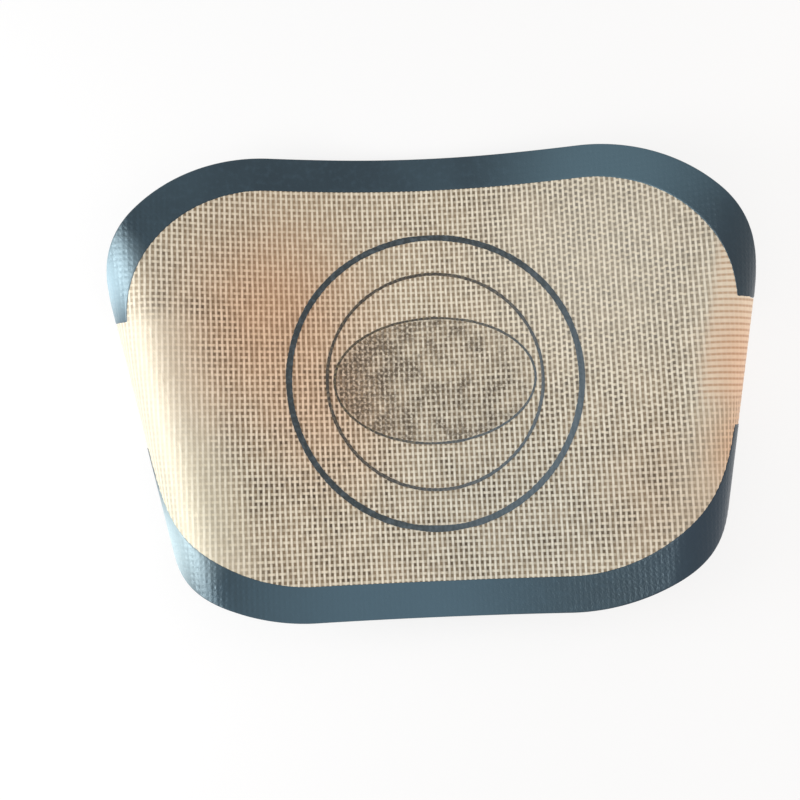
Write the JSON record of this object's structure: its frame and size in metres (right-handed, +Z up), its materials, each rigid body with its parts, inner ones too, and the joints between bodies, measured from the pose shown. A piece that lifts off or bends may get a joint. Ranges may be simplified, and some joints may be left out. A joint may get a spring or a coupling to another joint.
{
  "type": "bread sling",
  "caption": "Flexible woven baking sling with a silicone edge band, printed ring guides and strap handles folded back underneath it.",
  "frame": {"origin": "centre of the whole part's footprint, on the table that the folded straps lie on", "axes": "+X along the sheet's length towards the right strap, +Y across it towards the far edge, +Z up"},
  "size_m": [0.268, 0.196, 0.0339],
  "materials": {
    "coated_weave": "satin",
    "edge_silicone": "satin",
    "guide_print": "satin"
  },
  "bodies": {
    "mat": {"woven_panel": "coated_weave", "edge_band_far": "edge_silicone", "edge_band_near": "edge_silicone", "guide_ring_thick": "guide_print", "guide_ring_thin": "guide_print", "guide_oval": "guide_print"},
    "right_end": {"end_flap_right": "coated_weave", "band_corner_far_right": "edge_silicone", "band_corner_near_right": "edge_silicone"},
    "right_handle": {"handle_strap_right": "coated_weave"},
    "left_end": {"end_flap_left": "coated_weave", "band_corner_far_left": "edge_silicone", "band_corner_near_left": "edge_silicone"},
    "left_handle": {"handle_strap_left": "coated_weave"}
  },
  "joints": [
    {"name": "right_fold", "type": "hinge", "parent": "mat", "child": "right_end", "pos_m": [0.11991, -0.02388, 0.02981], "axis": [-0.1925, -0.9813, 0], "range_deg": [0, 120]},
    {"name": "right_fold_strap", "type": "hinge", "parent": "right_end", "child": "right_handle", "pos_m": [0.11991, -0.02388, 0.00389], "axis": [-0.1925, -0.9813, 0], "range_deg": [0, 120]},
    {"name": "left_fold", "type": "hinge", "parent": "mat", "child": "left_end", "pos_m": [-0.11544, -0.02684, 0.02802], "axis": [-0.2267, 0.974, 0], "range_deg": [0, 120]},
    {"name": "left_fold_strap", "type": "hinge", "parent": "left_end", "child": "left_handle", "pos_m": [-0.11544, -0.02684, 0.00368], "axis": [-0.2267, 0.974, 0], "range_deg": [0, 120]}
  ],
  "couplings": [
    {"joint": "right_fold_strap", "follows": "right_fold", "ratio": 1},
    {"joint": "left_fold_strap", "follows": "left_fold", "ratio": 1}
  ]
}
